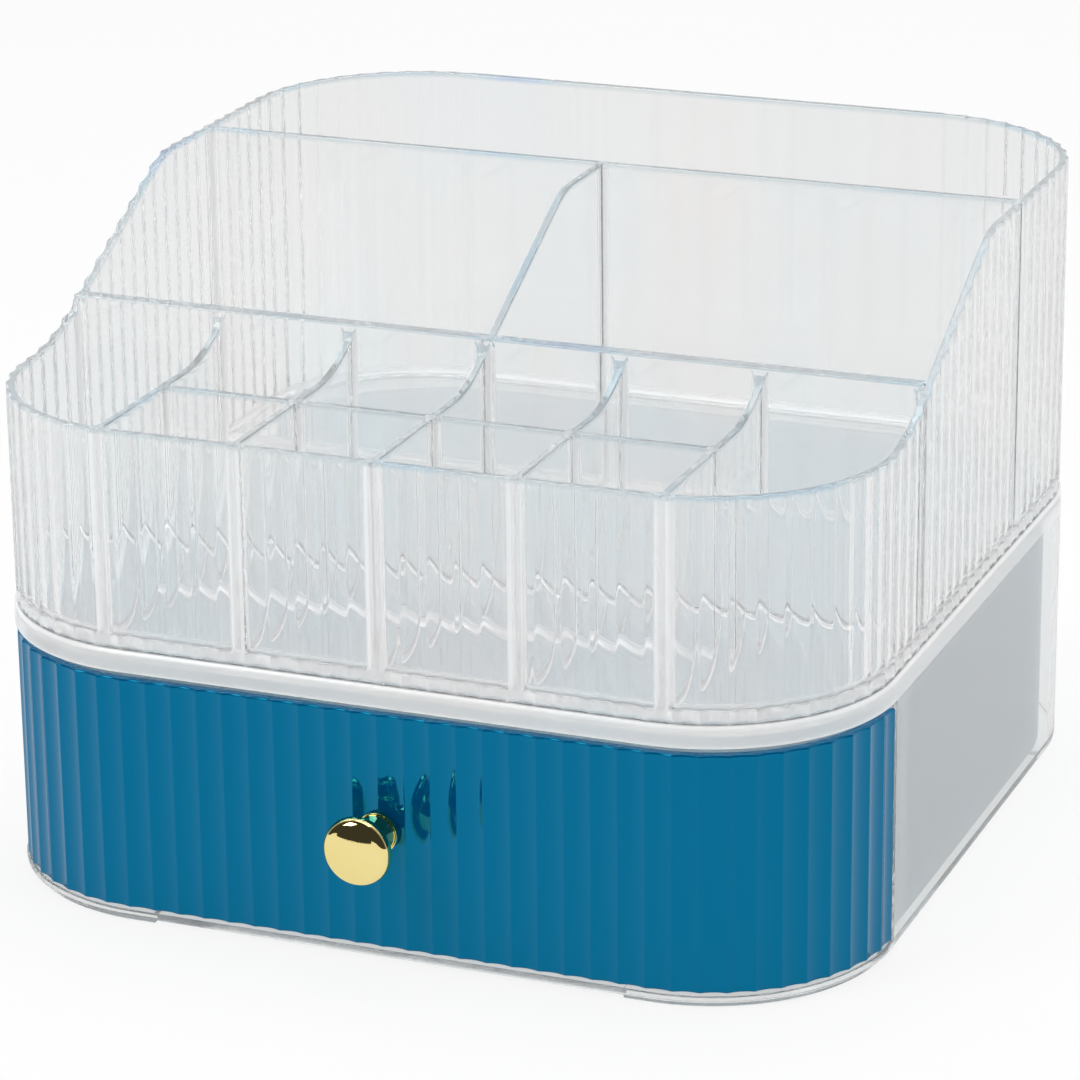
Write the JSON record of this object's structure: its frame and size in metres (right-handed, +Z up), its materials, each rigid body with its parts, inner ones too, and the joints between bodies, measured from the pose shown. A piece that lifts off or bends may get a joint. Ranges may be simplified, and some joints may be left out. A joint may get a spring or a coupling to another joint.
{
  "type": "makeup organizer",
  "caption": "Clear ribbed makeup organizer: a sloping compartment tray stands on a clear cabinet with one pull-out drawer that has a blue ribbed front and a round metal knob.",
  "frame": {"origin": "on the ground, under the middle of the whole box", "axes": "+X to the right across the front, the drawer's front faces -Y, +Z up"},
  "size_m": [0.2294, 0.2476, 0.1622],
  "materials": {
    "clear_tray": "clear moulded plastic, polished",
    "clear_cabinet": "clear moulded plastic, polished",
    "frosted_box": "frosted clear plastic, satin",
    "blue_front": "opaque blue plastic, glossy",
    "gold_metal": "polished gold-coloured metal",
    "screw_steel": "zinc-plated steel"
  },
  "bodies": {
    "cabinet": {"top_plate": "clear_cabinet", "left_side_wall": "clear_cabinet", "right_side_wall": "clear_cabinet", "rear_wall": "clear_cabinet", "base_plate": "clear_cabinet", "foot_front_left": "clear_cabinet", "foot_front_right": "clear_cabinet", "foot_rear_left": "clear_cabinet", "foot_rear_right": "clear_cabinet"},
    "tray": {"tray_wall": "clear_tray", "tray_floor": "clear_tray", "mid_divider": "clear_tray", "rear_divider": "clear_tray", "centre_divider": "clear_tray", "front_divider_1": "clear_tray", "front_divider_2": "clear_tray", "front_divider_3": "clear_tray", "front_divider_4": "clear_tray", "front_divider_5": "clear_tray", "cross_divider_1": "clear_tray", "cross_divider_2": "clear_tray", "cross_divider_3": "clear_tray", "cross_divider_4": "clear_tray"},
    "drawer": {"drawer_front": "blue_front", "drawer_floor": "frosted_box", "drawer_inner_front": "frosted_box", "drawer_left_side": "frosted_box", "drawer_right_side": "frosted_box", "drawer_back": "frosted_box", "knob": "gold_metal", "knob_screw": "screw_steel"}
  },
  "joints": [
    {"name": "drawer_slide", "type": "slide", "parent": "cabinet", "child": "drawer", "axis": [0, -1, 0], "range_m": [0, 0.14643]},
    {"name": "tray_lift", "type": "slide", "parent": "cabinet", "child": "tray", "axis": [0, 0, 1], "range_m": [0, 0.06]}
  ]
}
